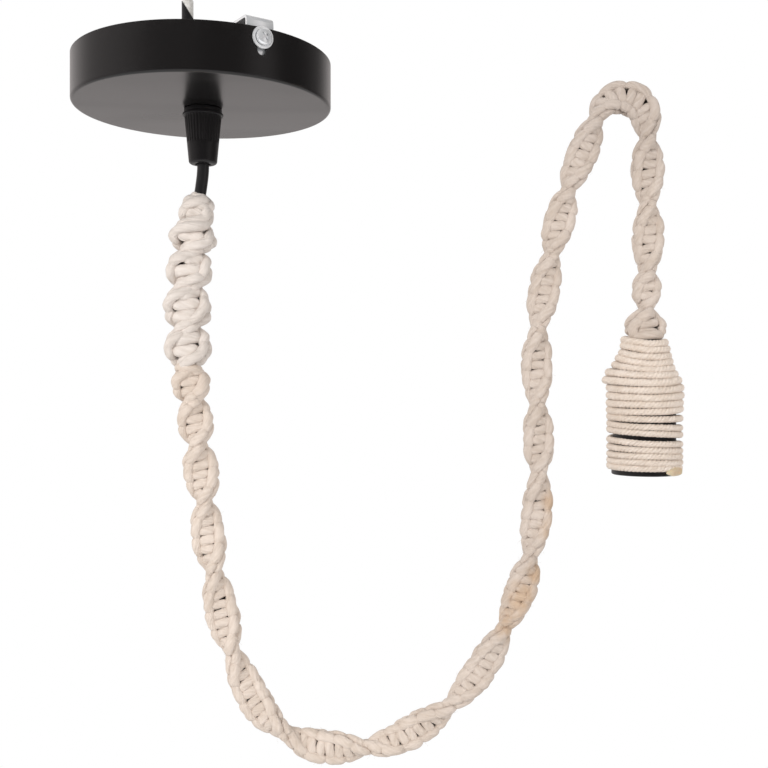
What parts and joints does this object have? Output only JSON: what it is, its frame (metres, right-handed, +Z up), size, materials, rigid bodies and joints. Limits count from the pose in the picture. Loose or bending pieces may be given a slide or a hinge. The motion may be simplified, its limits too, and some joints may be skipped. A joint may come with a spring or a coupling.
{
  "type": "pendant cord set",
  "caption": "Ceiling cup with cord grip, a knotted cotton cord in one swag, and a rope-wrapped screw lampholder hanging mouth down.",
  "frame": {"origin": "middle of the ceiling bracket's top face, where it meets the ceiling", "axes": "+Z up into the ceiling; +X from the ceiling cup towards the lampholder, in the plane of the cord's swag"},
  "size_m": [0.3574, 0.15, 0.4506],
  "materials": {
    "black_metal": "satin powder coat",
    "black_plastic": "moulded, satin",
    "zinc": "bright zinc plate",
    "brass": "plain",
    "cable_black": "smooth cable sheath",
    "rubber": "matt",
    "pale_core": "matt",
    "white_cotton": "loose cotton strands",
    "natural_cotton": "knotted cotton strands",
    "rope": "three-strand laid cotton rope",
    "ceramic": "glazed",
    "glue": "set glue",
    "brown": "smooth",
    "blue": "smooth",
    "green": "smooth"
  },
  "bodies": {
    "root": {"canopy_cup": "black_metal", "ceiling_bracket": "zinc", "earth_screw": "brass", "side_screw_front": "zinc", "side_screw_back": "zinc", "side_washer_front": "zinc", "side_washer_back": "zinc", "grip_collar": "black_plastic", "grip_cone": "black_plastic", "grip_collet": "rubber", "lock_washer": "zinc", "lock_nut": "brass", "cable_tail": "cable_black", "tail_core": "pale_core", "tail_conductor_brown": "brown", "tail_conductor_blue": "blue", "tail_conductor_green": "green", "cable": "cable_black", "macrame_white": "white_cotton", "macrame_natural": "natural_cotton", "entry_bush": "black_plastic", "holder_cap": "black_plastic", "holder_shell": "black_plastic", "holder_insert": "ceramic", "screw_shell": "brass", "centre_contact": "brass", "terminal_live": "brass", "terminal_neutral": "brass", "terminal_screw_live": "zinc", "terminal_screw_neutral": "zinc", "holder_conductor_brown": "brown", "holder_conductor_blue": "blue", "rope_winding": "rope", "glue_drop": "glue"}
  },
  "joints": []
}
